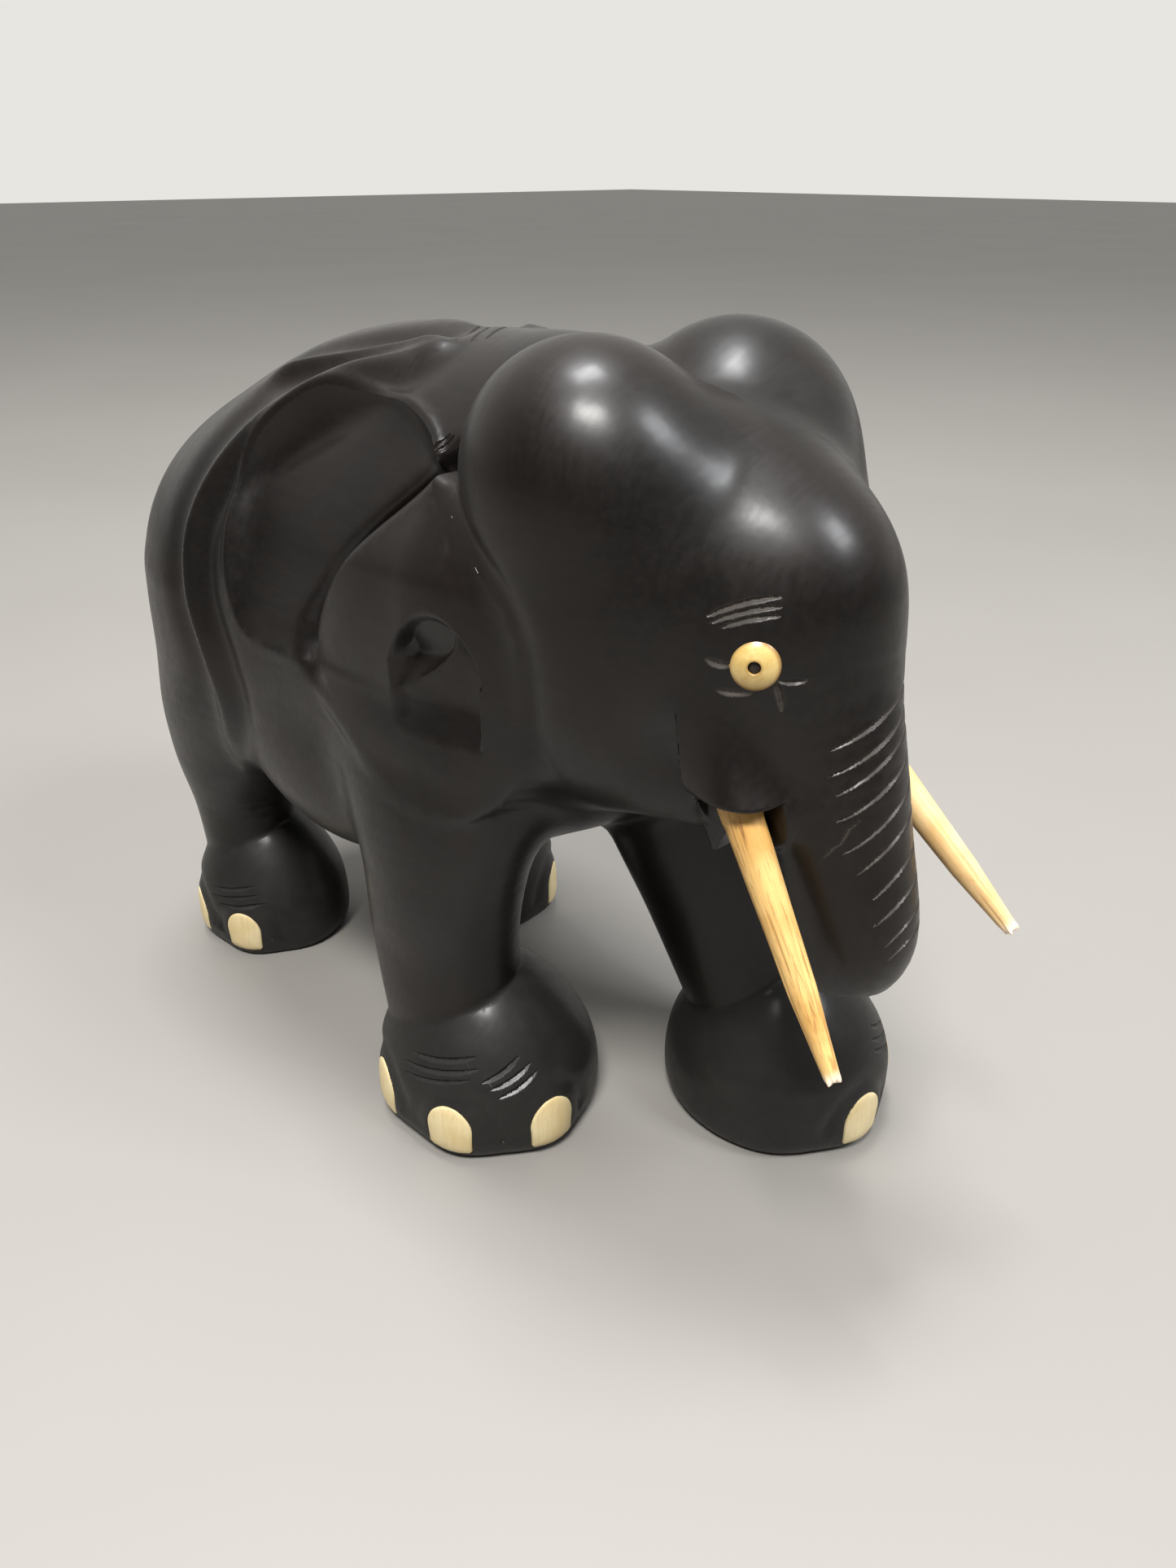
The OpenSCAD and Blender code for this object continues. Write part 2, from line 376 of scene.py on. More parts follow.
def flank_relief(P):
    """How far the flank's surface is cut back, in millimetres."""
    u, v = unroll(P)
    gap, along = path_gap(u, v, CREST)
    ahead = np.sign(crest_side(u, v))
    fade = step(0.0, 0.06, along) * step(1.0, 0.9, along)
    ridge = -3.0 * bell(gap, 4.6)
    behind = 2.4 * bell(gap - 12, 7) * (ahead < 0)
    before = 1.5 * bell(gap - 9, 5) * (ahead > 0)
    cutback = fade * (ridge + behind + before)
    spine, along = path_gap(u, v, SPINE_CREST)
    fade = step(0, 0.2, along) * step(1, 0.8, along)
    cutback += fade * (1.3 * bell(spine - 5, 3.5) - 1.9 * bell(spine, 2.2))
    inside = -polygon(u, v, HOLLOW)
    depth = 6.8 * (1 - np.exp(-np.clip(inside, 0, None) / 4.2)) - 0.8 * bell(inside + 1.2, 1.5)
    return cutback + depth * (0.2 + 0.8 * step(2, 34, v))


def crest_side(u, v):
    """Positive ahead of the crest, negative behind it."""
    order = np.argsort(CREST[:, 1])
    return u - np.interp(v, CREST[order, 1], CREST[order, 0])


def limb(P, rows):
    """A leg through level rings, told by its height."""
    x, y, z = P.T
    r = smooth_rows(rows, 6)
    cx, cy, a, b = (np.interp(z, r[:, 2], r[:, i]) for i in (0, 1, 3, 4))
    slopes = np.gradient(r, r[:, 2], axis=0)
    dcx, dcy, da, db = (np.interp(z, r[:, 2], slopes[:, i]) for i in (0, 1, 3, 4))
    p, q = (x - cx) / a, (y - cy) / b
    f = np.sqrt(p * p + q * q + 1e-9)
    gx, gy = p / a / f, q / b / f
    gz = -(p * (dcx + p * da) / a + q * (dcy + q * db) / b) / f
    d = (f - 1) / np.sqrt(gx * gx + gy * gy + gz * gz)
    d = np.maximum(d, rows[0][2] - 14 - z)
    return -union(-d, -(z - rows[-1][2] - 3), 6)


foot_rows = smooth_rows(FOOT_PROFILE, 6)


def foot_angle(P, name):
    """Degrees round the foot from straight ahead towards the outer side."""
    f = FEET[name]
    s = 1 if f[1] > 0 else -1
    return np.degrees(np.arctan2(s * (P[:, 1] - f[1]), (P[:, 0] - f[0]) / FOOT_LENGTH))


def toes(P, name):
    """How far the foot is cut back between its toes."""
    angle = foot_angle(P, name)
    marks = NAIL_ANGLES[name]
    wide = 11.0 if name.startswith("front") else 13.0
    lobe = np.zeros(len(P))
    for a in marks:
        lobe = np.maximum(lobe, bell(angle - a, wide * 1.55))
    reach = step(marks[0] - 60, marks[0] - 20, angle) * step(marks[-1] + 60, marks[-1] + 20, angle)
    low = step(26, 10, P[:, 2])
    flat = 1.7 * (1 - lobe) * reach * low
    knuckle = 0.0
    for a in marks:
        over = np.hypot((angle - a) / wide * 5.4, (P[:, 2] - 10) * 0.78)
        knuckle = knuckle + 0.75 * bell(over - 11.2, 2.0) * (P[:, 2] > 8)
    return flat + knuckle


def foot(P, name):
    cx, cy, radius = FEET[name]
    x, y, z = (P[:, 0] - cx) / FOOT_LENGTH, P[:, 1] - cy, P[:, 2]
    rho = np.sqrt(x * x + y * y)
    share = np.interp(z, foot_rows[:, 0], foot_rows[:, 1])
    slope = np.interp(z, foot_rows[:, 0], np.gradient(foot_rows[:, 1], foot_rows[:, 0]))
    d = (rho - radius * share) / np.sqrt(1 + (radius * slope) ** 2)
    d = np.where(z > FOOT_PROFILE[-1][0], np.maximum(d, z - FOOT_PROFILE[-1][0]), d)
    d = d + toes(P, name)
    return -union(-d, P[:, 2], 2.2)


# ---------------------------------------------------------------- head

def trunk(P):
    return chain(P, smooth_rows(TRUNK, 5))


def tail(P):
    return chain(P, smooth_rows(TAIL, 5))


# The ear's outline in the plane of the flank: [x, z]
EAR = smooth_rows([
    [48, 206], [40, 199], [29, 189], [16, 176], [7, 164], [3, 153], [8, 142], [22, 134], [42, 128],
    [60, 123], [73, 126], [81.5, 138], [85.5, 152], [86.5, 168], [83.5, 179], [76, 188], [66, 196],
    [57, 203], [48, 206]
], 3)[:-1]
EAR_EDGE_Y = 57.0


def ear(Q):
    x, out, z = Q[:, 0], -Q[:, 1], Q[:, 2]
    edge = polygon(x, z, EAR)
    crown = 3.6 * bell(x - 50, 34) * bell(z - 160, 36) - 6.0 * step(45, 88, x)
    face = out - EAR_EDGE_Y - crown - 3.5 * step(45, 12, x) + 8 * step(181, 206, z) + bell(edge, 7)
    return -union(-edge, -face, 3.0), edge


def ear_pit(Q):
    """Depth of the hollow carved in the ear: an arch that faces down over a lit shelf."""
    x, z = Q[:, 0], Q[:, 2]
    u = x - 57.5
    arch = step(0.0, 3.6, 176.5 - 0.055 * u * u - z)
    above = arch * np.clip((180 - z) / 20, 0, 1) ** 1.2
    below = np.clip(1 - (160 - z) / 19, 0, 1) ** 1.1
    sides = step(-17.5, -11, u) * step(14.2, 12.6, u)
    return 7.6 * np.where(z > 160, above, below) * sides


def head(Q):
    d = ellipsoid(Q, (95, 0, 182), (44, 40, 44))
    d = union(d, ellipsoid(Q, (106, -17, 158), (30, 17, 35)), 14)
    d = union(d, ellipsoid(Q, (84, -24, 165), (39.5, 27.5, 42.5)), 8)
    d = union(d, ellipsoid(Q, (82, -24, 190), (37.5, 28.5, 37.5)), 10)
    d = union(d, ellipsoid(Q, (122, 0, 181), (27, 26, 30.5)), 9)
    d = union(d, local(Q, (90, -50, 60), (180, 1, 220), trunk), 9)
    d = union(d, ellipsoid(Q, (80, -26, 210), (31.6, 29.6, 29.6)), 10)
    return d


def nape(Q):
    return ellipsoid(Q, (48, 0, 205), (39.5, 29.5, 28.2))


def belly(Q):
    return ellipsoid(Q, (-25, -30, 102), (47, 29.5, 32.5))


JAW_EDGE_X, JAW_LOW_Z = 120.5, 142.5
# The wood round the tusk's root: [x, y, z, radius]
SHEATH = np.array([[114.5, -21.5, 163, 11.5], [124.6, -24.4, 150, 9.5], [133.4, -26, 137, 9.5]])
# The lip behind the tusk: [x, z]
LIP = [[114, 146], [132, 146], [128, 136], [120.5, 120.5], [117, 128]]


def jaw(Q, head_gap):
    """The sheath over the tusk's root, cut off level below, with a recess behind its edge
    and a pointed lip that hangs behind the tusk."""
    x, out, z = Q[:, 0], -Q[:, 1], Q[:, 2]
    d = union(head_gap, chain(Q, SHEATH), 8)
    behind_edge = step(105.5, 118, x) * step(JAW_EDGE_X + 0.6, JAW_EDGE_X - 0.9, x)
    d = d + 4.8 * behind_edge * bell(z - 149, 11)
    below = np.maximum(np.maximum(z - JAW_LOW_Z, JAW_EDGE_X - x), 21.5 - out)
    d = cut(d, below, 1.2)
    lip = -union(-polygon(x, z, LIP), -(out - 24 + 0.1 * (140 - z)), 1.6)
    return union(d, lip, 1.5)


# ---------------------------------------------------------------- cuts made with a knife

def groove(P, frame_at, axes, rows, depth, width, reach=14, extra=0.0):
    """A V cut along rows of [u, v], measured in the plane of the first two axes."""
    R = P - frame_at
    m = np.abs(R @ axes[2]) < reach
    out = np.zeros(len(P))
    if not m.any():
        return out
    u, v = R[m] @ axes[0], R[m] @ axes[1]
    gap, along = path_gap(u, v, np.array(rows, float))
    taper = np.clip(4.2 * along * (1 - along) + 0.08, 0, 1) ** 0.6
    out[m] = depth * np.clip(taper - gap / (width + extra), 0, None)
    return out


def arc(a, b, rise, steps=6):
    """Points from a to b on a shallow arch."""
    a, b = np.array(a, float), np.array(b, float)
    way = b - a
    off = np.array([-way[1], way[0]]) / np.linalg.norm(way)
    return [a + way * t + off * rise * 4 * t * (1 - t) for t in np.linspace(0, 1, steps)]


AXIS_X, AXIS_Y, AXIS_Z = np.eye(3)
ORIGIN = np.zeros(3)
THROUGH = 400  # a reach that leaves nothing out
FACE_X = 100.0  # the cuts ahead of this, on the face and trunk, look pale

# Cuts round the eye: [along, up] from the eye's middle, depth and width
EYE_CUTS = [
    (arc((-11.2, 10.2), (4.8, 15.4), 0.9), 0.75, 0.85),
    (arc((-10.2, 8.8), (4.6, 13.2), 0.9), 0.75, 0.85),
    (arc((-7.8, 7.9), (4.6, 11.2), 0.8), 0.65, 0.8),
    (arc((4.9, -3.0), (11.5, -2.9), -0.5), 0.7, 0.8),
    (arc((4.6, -3.4), (6.6, -10.6), 0.4), 1.0, 1.05),
    (arc((-11, 0.8), (-5.2, -0.4), -0.4), 0.6, 1.1),
    (arc((-8.2, -6.4), (0.5, -6.1), -0.5), 0.55, 1.0)
]
# Wrinkles across the front of the trunk: [height at the sides, height in the middle, half span]
TRUNK_CUTS = [
    [156, 163, 15], [150, 158, 15], [145, 154, 15], [139, 148, 14.5], [131, 141, 14],
    [126, 134.5, 12], [119.5, 126, 9.5], [113, 119, 9.5], [107, 112, 7.5], [103, 107, 6.5]
]
CRACK = [[-16.5, 129], [-14.6, 133], [-13.8, 133.8], [-12.2, 137.6], [-10.2, 139.6]]
# Cuts across the spine: [x, y] ends
SPINE_CUTS = [[(17, -16), (6, 3)], [(21, -14), (8, 8)], [(25, -12), (13, 9)]]
NECK_CUTS = [[(41.2, 213.5), (38.6, 209.5)], [(42.6, 213.2), (40.2, 209.0)]]
# Cuts over the toes: [angle, height] ends
FRONT_CUTS = [
    [(88, 32), (47, 36)], [(92, 28.5), (45, 33)], [(90, 25.5), (50, 30)],
    [(43, 29.5), (20, 35.5)], [(39, 27.5), (14, 33)], [(35, 25), (11, 30.5)]
]
REAR_CUTS = [[(84, 27), (45, 30.5)], [(86, 23.5), (40, 27.5)], [(80, 20.5), (37, 24)]]


def eye_cuts(p, extra):
    axes = (EYE_AHEAD, EYE_UP, EYE_OUT)
    return [groove(p, EYE_AT, axes, rows, depth, width, extra=extra)
            for rows, depth, width in EYE_CUTS]


def trunk_cuts(p, extra):
    axes = (AXIS_Y, AXIS_Z, AXIS_X)
    cuts = []
    for side, middle, span in TRUNK_CUTS:
        rise = middle - side
        rows = smooth_rows([[-span, side], [-span * 0.45, side + 0.55 * rise], [3, middle],
                            [14, middle + 0.25 * rise], [span + 5, side + 0.7 * rise]], 3)
        cuts.append(groove(p, ORIGIN, axes, rows, 0.75, 0.6, THROUGH, extra))
    return cuts + [groove(p, ORIGIN, axes, CRACK, 0.35, 0.4, THROUGH, extra)]


def spine_cuts(p, extra):
    axes = (AXIS_X, AXIS_Y, AXIS_Z)
    return [groove(p, ORIGIN, axes, arc(a, b, 0.6), 0.7, 0.75, THROUGH, extra)
            for a, b in SPINE_CUTS]


def neck_cuts(p, extra):
    axes = (AXIS_X, AXIS_Z, AXIS_Y)
    return [groove(p, ORIGIN, axes, arc(a, b, 0.2), 0.7, 0.8, THROUGH, extra)
            for a, b in NECK_CUTS]


def toe_cuts(p, name, extra):
    """Cuts over the toes, drawn on the foot unrolled round its middle."""
    roll = FEET[name][2] * 0.9
    flat = np.stack([np.radians(foot_angle(p, name)) * roll, p[:, 2], np.zeros(len(p))], 1)
    cuts = []
    for ends in FRONT_CUTS if name.startswith("front") else REAR_CUTS:
        a, b = [(math.radians(angle) * roll, z) for angle, z in ends]
        cuts.append(groove(flat, ORIGIN, (AXIS_X, AXIS_Y, AXIS_Z), arc(a, b, 0.5), 0.8, 0.85,
                           extra=extra))
    return cuts


def knife_cuts(P, Q, extra=0.0):
    """Depth of the deepest cut at each point; extra widens every cut."""
    total = np.zeros(len(P))
    zones = [
        (Q, (112, -50, 160), (150, -8, 200), eye_cuts),
        (P, (138, -22, 98), (175, 22, 168), trunk_cuts),
        (P, (0, -24, 215), (32, 16, 245), spine_cuts),
        (Q, (30, -60, 198), (52, -30, 222), neck_cuts)
    ]
    for name, (cx, cy, _) in FEET.items():
        zones.append((P, (cx - 45, cy - 42, 16), (cx + 45, cy + 42, 42),
                      lambda p, more, n=name: toe_cuts(p, n, more)))
    for points, lo, hi, cuts in zones:
        m = within(points, lo, hi)
        if m.any():
            total[m] = np.maximum(total[m], np.max(cuts(points[m], extra), axis=0))
    return total


# ---------------------------------------------------------------- the whole block

def socket(P):
    best = np.full(len(P), FAR)
    for side in ("right", "left"):
        root, way = tusk_frame(side)
        R = P - root
        t = R @ way
        rho = np.linalg.norm(R - t[:, None] * way, axis=1)
        best = np.minimum(best, np.maximum(rho - SOCKET_R, np.abs(t - 3) - TUSK_PEG - 3.4))
    return best


def ebony(P, fine=True):
    """Signed distance to the carved block."""
    P = np.asarray(P, float)
    Q = side_of(P)
    d = torso(P)
    m = (np.abs(d) < 14) & (P[:, 0] < 75)
    if m.any():
        d[m] += flank_relief(P[m])
    for name, rows in LEGS.items():
        cx, cy = FEET[name][:2]
        lo, hi = (min(cx, rows[-1][0]) - 62, cy - 50, 4), (max(cx, rows[-1][0]) + 62, cy + 50, 165)
        k = 9 if name.startswith("front") else 12
        d = union(d, local(P, lo, hi, lambda p, r=rows: limb(p, r)), k)
    d = union(d, local(Q, (-90, -72, 56), (40, 1, 150), belly), 14)
    d = union(d, local(Q, (-5, -45, 160), (100, 1, 245), nape), 12)
    d = union(d, local(Q, (25, -80, 90), (190, 1, 260), head), 6)
    m = within(Q, (-12, -76, 108), (105, -30, 216))
    if m.any():
        q = Q[m]
        plate, edge = ear(q)
        body = d[m]
        strength = 0.8 + 6.7 * step(58, 44, q[:, 0])
        groove_depth = strength * bell(edge - 1.2, 3.6) * step(138, 160, q[:, 2]) * (edge > -3)
        body = body + groove_depth
        soft = 1.2 + 9 * step(152, 132, q[:, 2]) + 4 * step(178, 192, q[:, 2])
        d[m] = union(body, plate + ear_pit(q), soft)
    m = within(Q, (105, -45, 112), (155, -10, 182))
    if m.any():
        q = Q[m]
        d[m] = jaw(q, d[m])
    for name, (cx, cy, _) in FEET.items():
        box = ((cx - 50, cy - 46, -8), (cx + 50, cy + 46, 62))
        d = union(d, local(P, *box, lambda p, n=name: foot(p, n)), 1.0)
    d = union(d, local(P, (-142, -60, 44), (-100, 14, 192), tail), 2.0)
    m = within(Q, (105, -42, 118), (160, -8, 158))
    if m.any():
        d[m] = cut(d[m], socket(P[m]), 0.35)
    if fine:
        d = d + knife_cuts(P, Q)
    return np.maximum(d, -P[:, 2])


# ---------------------------------------------------------------- meshing

SLAB_POINTS = 400000


def sample(field, axes):
    """The field's values on a grid, worked out in slabs to save memory."""
    n = [len(a) for a in axes]
    grid = np.empty(n)
    yz = np.stack(np.meshgrid(axes[1], axes[2], indexing="ij"), -1).reshape(-1, 2)
    slab = max(1, SLAB_POINTS // len(yz))
    for i in range(0, n[0], slab):
        xs = axes[0][i:i + slab]
        pts = np.empty((len(xs), len(yz), 3))
        pts[:, :, 0] = xs[:, None]
        pts[:, :, 1:] = yz
        grid[i:i + slab] = field(pts.reshape(-1, 3)).reshape(len(xs), n[1], n[2])
    return grid


def cell_crossings(grid, solid, cells):
    """How often the surface crosses each cell's edges, and the sum of those places."""
    count = np.zeros(cells, np.int16)
    where = np.zeros(cells + (3,))
    for axis in range(3):
        others = [a for a in range(3) if a != axis]
        for da in (0, 1):
            for db in (0, 1):
                first = [slice(0, k) for k in cells]
                first[others[0]] = slice(da, cells[others[0]] + da)
                first[others[1]] = slice(db, cells[others[1]] + db)
                second = list(first)
                second[axis] = slice(1, cells[axis] + 1)
                a, b = grid[tuple(first)], grid[tuple(second)]
                hit = solid[tuple(first)] != solid[tuple(second)]
                t = np.where(hit, a / np.where(a == b, 1, a - b), 0)
                count += hit
                where[..., axis] += t
                where[..., others[0]] += da * hit
                where[..., others[1]] += db * hit
    return count, where


def crossed_quads(solid, cells, ids):
    """A quad round each grid edge that the surface crosses."""
    quads = []
    for axis in range(3):
        b, c = (axis + 1) % 3, (axis + 2) % 3
        low = [slice(1, k) for k in cells]
        low[axis] = slice(0, cells[axis])
        high = list(low)
        high[axis] = slice(1, cells[axis] + 1)
        a0, a1 = solid[tuple(low)], solid[tuple(high)]
        cross = np.argwhere(a0 != a1)
        flip = a0[tuple(cross.T)]
        base = cross.copy()
        base[:, b] += 1
        base[:, c] += 1
        corner = []
        for db, dc in ((-1, -1), (0, -1), (0, 0), (-1, 0)):
            k = base.copy()
            k[:, b] += db
            k[:, c] += dc
            corner.append(ids[tuple(k.T)])
        q = np.stack(corner, 1)
        q[~flip] = q[~flip][:, ::-1]
        quads.append(q)
    return np.vstack(quads)


def surface_net(field, lo, hi, h):
    """One vertex in each grid cell that the surface crosses, and a quad on each crossed edge."""
    grid = sample(field, [np.arange(a, b + h, h) for a, b in zip(lo, hi)])
    solid = grid < 0
    cells = tuple(k - 1 for k in grid.shape)
    count, where = cell_crossings(grid, solid, cells)
    index = np.stack(np.meshgrid(*(np.arange(k) for k in cells), indexing="ij"), -1)
    used = count > 0
    ids = np.full(cells, -1)
    ids[used] = np.arange(used.sum())
    verts = (index[used] + where[used] / count[used][:, None]) * h + np.array(lo)
    return verts, crossed_quads(solid, cells, ids)


def gradient(field, P, e=0.05):
    g = np.empty_like(P)
    for i in range(3):
        shift = np.zeros(3)
        shift[i] = e
        g[:, i] = (field(P + shift) - field(P - shift)) / (2 * e)
    return g


def settle(field, P, rounds=2, most=1.0):
    """Points moved onto the surface, and the field's slope there."""
    for _ in range(rounds):
        g = gradient(field, P)
        gg = np.maximum((g * g).sum(1), 0.05)
        move = -(field(P) / gg)[:, None] * g
        size = np.linalg.norm(move, axis=1)
        move *= np.minimum(1, most / np.maximum(size, 1e-9))[:, None]
        P = P + move
    return P, g


def unit(g):
    return g / np.maximum(np.linalg.norm(g, axis=1), 1e-9)[:, None]


def split_edges(verts, tris, marks):
    """Triangles with each marked edge cut at its middle."""
    edges = np.sort(tris[:, [0, 1, 1, 2, 2, 0]].reshape(-1, 2), 1)
    keys = edges[:, 0] * len(verts) + edges[:, 1]
    uniq, first, inverse = np.unique(keys, return_index=True, return_inverse=True)
    chosen = marks(edges[first])
    new_id = np.full(len(uniq), -1)
    new_id[chosen] = len(verts) + np.arange(chosen.sum())
    picked = edges[first][chosen]
    verts = np.vstack([verts, verts[picked].mean(1)])
    mid = new_id[inverse].reshape(-1, 3)
    n = (mid >= 0).sum(1)
    out = [tris[n == 0]]
    for k in range(3):
        t, m = np.roll(tris, -k, 1), np.roll(mid, -k, 1)
        one = (n == 1) & (m[:, 0] >= 0)
        a, b, c, ab = t[one, 0], t[one, 1], t[one, 2], m[one, 0]
        out += [np.stack([a, ab, c], 1), np.stack([ab, b, c], 1)]
        two = (n == 2) & (m[:, 2] < 0)
        a, b, c = t[two].T
        ab, bc = m[two, 0], m[two, 1]
        out.append(np.stack([ab, b, bc], 1))
        short = (np.linalg.norm(verts[a] - verts[bc], axis=1)
                 < np.linalg.norm(verts[ab] - verts[c], axis=1))
        far = ~short
        out += [np.stack([a, ab, bc], 1)[short], np.stack([a, bc, c], 1)[short]]
        out += [np.stack([a, ab, c], 1)[far], np.stack([ab, bc, c], 1)[far]]
    t, m = tris[n == 3], mid[n == 3]
    out += [np.stack([t[:, 0], m[:, 0], m[:, 2]], 1), np.stack([t[:, 1], m[:, 1], m[:, 0]], 1),
            np.stack([t[:, 2], m[:, 2], m[:, 1]], 1), m]
    return verts, np.vstack(out)


def relax(verts, tris, normals, share, fixed=0):
    """Each vertex moved part of the way to its neighbours' middle, along the surface."""
    edges = np.unique(np.sort(tris[:, [0, 1, 1, 2, 2, 0]].reshape(-1, 2), 1), axis=0)
    total = np.zeros_like(verts)
    count = np.zeros(len(verts))
    for a, b in ((0, 1), (1, 0)):
        np.add.at(total, edges[:, a], verts[edges[:, b]])
        np.add.at(count, edges[:, a], 1)
    move = total / np.maximum(count, 1)[:, None] - verts
    move -= (move * normals).sum(1)[:, None] * normals
    move[:fixed] = 0
    return verts + share * move


def sculpt(field, lo, hi, h, rounds, bend, least, near=None):
    """A closed mesh of the field, finer wherever its surface bends."""
    verts, quads = surface_net(field, lo, hi, h)
    tris = np.vstack([quads[:, [0, 1, 2]], quads[:, [0, 2, 3]]])
    verts, g = settle(field, verts, 2)
    for _ in range(2):
        verts = relax(verts, tris, unit(g), 0.5)
        verts, g = settle(field, verts, 1)
    for _ in range(rounds):
        normals = unit(g)

        def marks(e):
            length = np.linalg.norm(verts[e[:, 0]] - verts[e[:, 1]], axis=1)
            turn = np.clip((normals[e[:, 0]] * normals[e[:, 1]]).sum(1), -1, 1)
            want = (turn < math.cos(math.radians(bend))) & (length > 1.4 * least)
            if near is not None:
                want |= near(verts[e].mean(1), length)
            return want

        verts, tris = split_edges(verts, tris, marks)
        verts, g = settle(field, verts, 2, 0.6)
        verts = relax(verts, tris, unit(g), 0.35)
        verts, g = settle(field, verts, 2, 0.4)
    return verts, tris, unit(g)


# ---------------------------------------------------------------- toenails

def nail_outline(share):
    """Arch-topped outline of a nail, [across, up], from its middle low edge."""
    w, h = NAIL_W * share / 2, NAIL_H * share
    arch = [(w * math.cos(a), h - w * 1.15 + w * 1.15 * math.sin(a))
            for a in np.linspace(0, math.pi, 25)]
    low = [(-w * 0.96, 1.6), (-w * 0.84, 0.35), (-w * 0.4, 0.05), (0, 0), (w * 0.4, 0.05),
           (w * 0.84, 0.35), (w * 0.96, 1.6)]
    return arch + low


def nail_frames():
    """Each nail's foot, node name, place, way out of the foot, way across and size."""
    for name, (cx, cy, radius) in FEET.items():
        end, side = name.split("_")
        s = sign_of(side)
        for i, angle in enumerate(NAIL_ANGLES[name], 1):
            a = math.radians(angle)
            far = radius * math.hypot(math.cos(a) * FOOT_LENGTH, math.sin(a))
            out = np.array([math.cos(a), s * math.sin(a), 0.0])
            across = np.array([-out[1], out[0], 0.0])
            at = np.array([cx, cy, NAIL_LIFT]) + far * out
            yield name, "%s_nail_%s_%d" % (end, side, i), at, out, across, NAIL_SHARE[end]


NAILS = list(nail_frames())


def nail_edges(P):
    """For each nail, the points near it and their distance from its outline."""
    for _, _, at, out, across, share in NAILS:
        R = P - at
        m = (np.abs(R @ across) < 11) & (np.abs(R @ out) < 9) & (P[:, 2] < 26)
        if m.any():
            yield m, polygon(R[m] @ across, R[m][:, 2], nail_outline(share))


def nail_seats(P):
    """How far the wood is cut back under the nails, with a fine seam round each."""
    total = np.zeros(len(P))
    for m, edge in nail_edges(P):
        total[m] = np.maximum(total[m], 0.9 * step(0.25, -0.35, edge))
    return total


def nail_zone(P):
    near = np.zeros(len(P), bool)
    for m, edge in nail_edges(P):
        near[m] |= np.abs(edge) < 0.9
    return near


def carved(P):
    return ebony(P) + nail_seats(np.asarray(P, float))


def detail_zone(P, length):
    """Edges near a knife cut, a nail's seam or a tusk's socket are kept short."""
    Q = side_of(P)
    want = (knife_cuts(P, Q, 0.7) > 0) & (length > 0.62)
    want |= nail_zone(P) & (length > 0.8)
    m = within(Q, (120, -36, 130), (145, -16, 150))
    want[m] |= (np.abs(socket(P[m])) < 0.8) & (length[m] > 0.7)
    return want


# ---------------------------------------------------------------- making objects

def to_model(P):
    return (np.asarray(P, float) - [MID_X, 0, 0]) * MM


def make_object(name, verts, faces, normals=None, smooth=True):
    """A mesh object from points in the design's millimetres."""
    mesh = bpy.data.meshes.new(name)
    if isinstance(faces, np.ndarray):
        groups = [faces]
    else:
        sizes = {}
        for f in faces:
            sizes.setdefault(len(f), []).append(f)
        groups = [np.array(g) for g in sizes.values()]
    loops = np.concatenate([g.ravel() for g in groups])
    totals = np.concatenate([np.full(len(g), g.shape[1]) for g in groups])
    starts = np.concatenate([[0], np.cumsum(totals)[:-1]])
    mesh.vertices.add(len(verts))
    mesh.vertices.foreach_set("co", to_model(verts).ravel())
    mesh.loops.add(len(loops))
    mesh.loops.foreach_set("vertex_index", loops.astype(np.int32))
    mesh.polygons.add(len(totals))
    mesh.polygons.foreach_set("loop_start", starts.astype(np.int32))
    mesh.update(calc_edges=True)
    mesh.validate()
    mesh.polygons.foreach_set("use_smooth", np.full(len(mesh.polygons), smooth))
    if normals is not None:
        mesh.normals_split_custom_set_from_vertices(normals)
    obj = bpy.data.objects.new(name, mesh)
    bpy.context.collection.objects.link(obj)
    return obj


def add_attribute(obj, name, values):
    layer = obj.data.attributes.new(name, "FLOAT", "POINT")
    layer.data.foreach_set("value", np.asarray(values, np.float32))


def tube_faces(rings, around, close_ends=True):
    """Quads between rings of points, and fans over both ends (two more points)."""
    faces = []
    for j in range(rings - 1):
        for i in range(around):
            k = (i + 1) % around
            faces.append((j * around + i, j * around + k, (j + 1) * around + k, (j + 1) * around + i))
    if close_ends:
        first, last = rings * around, rings * around + 1
        for i in range(around):
            k = (i + 1) % around
            faces.append((first, k, i))
            faces.append((last, (rings - 1) * around + i, (rings - 1) * around + k))
    return faces


# ---------------------------------------------------------------- materials

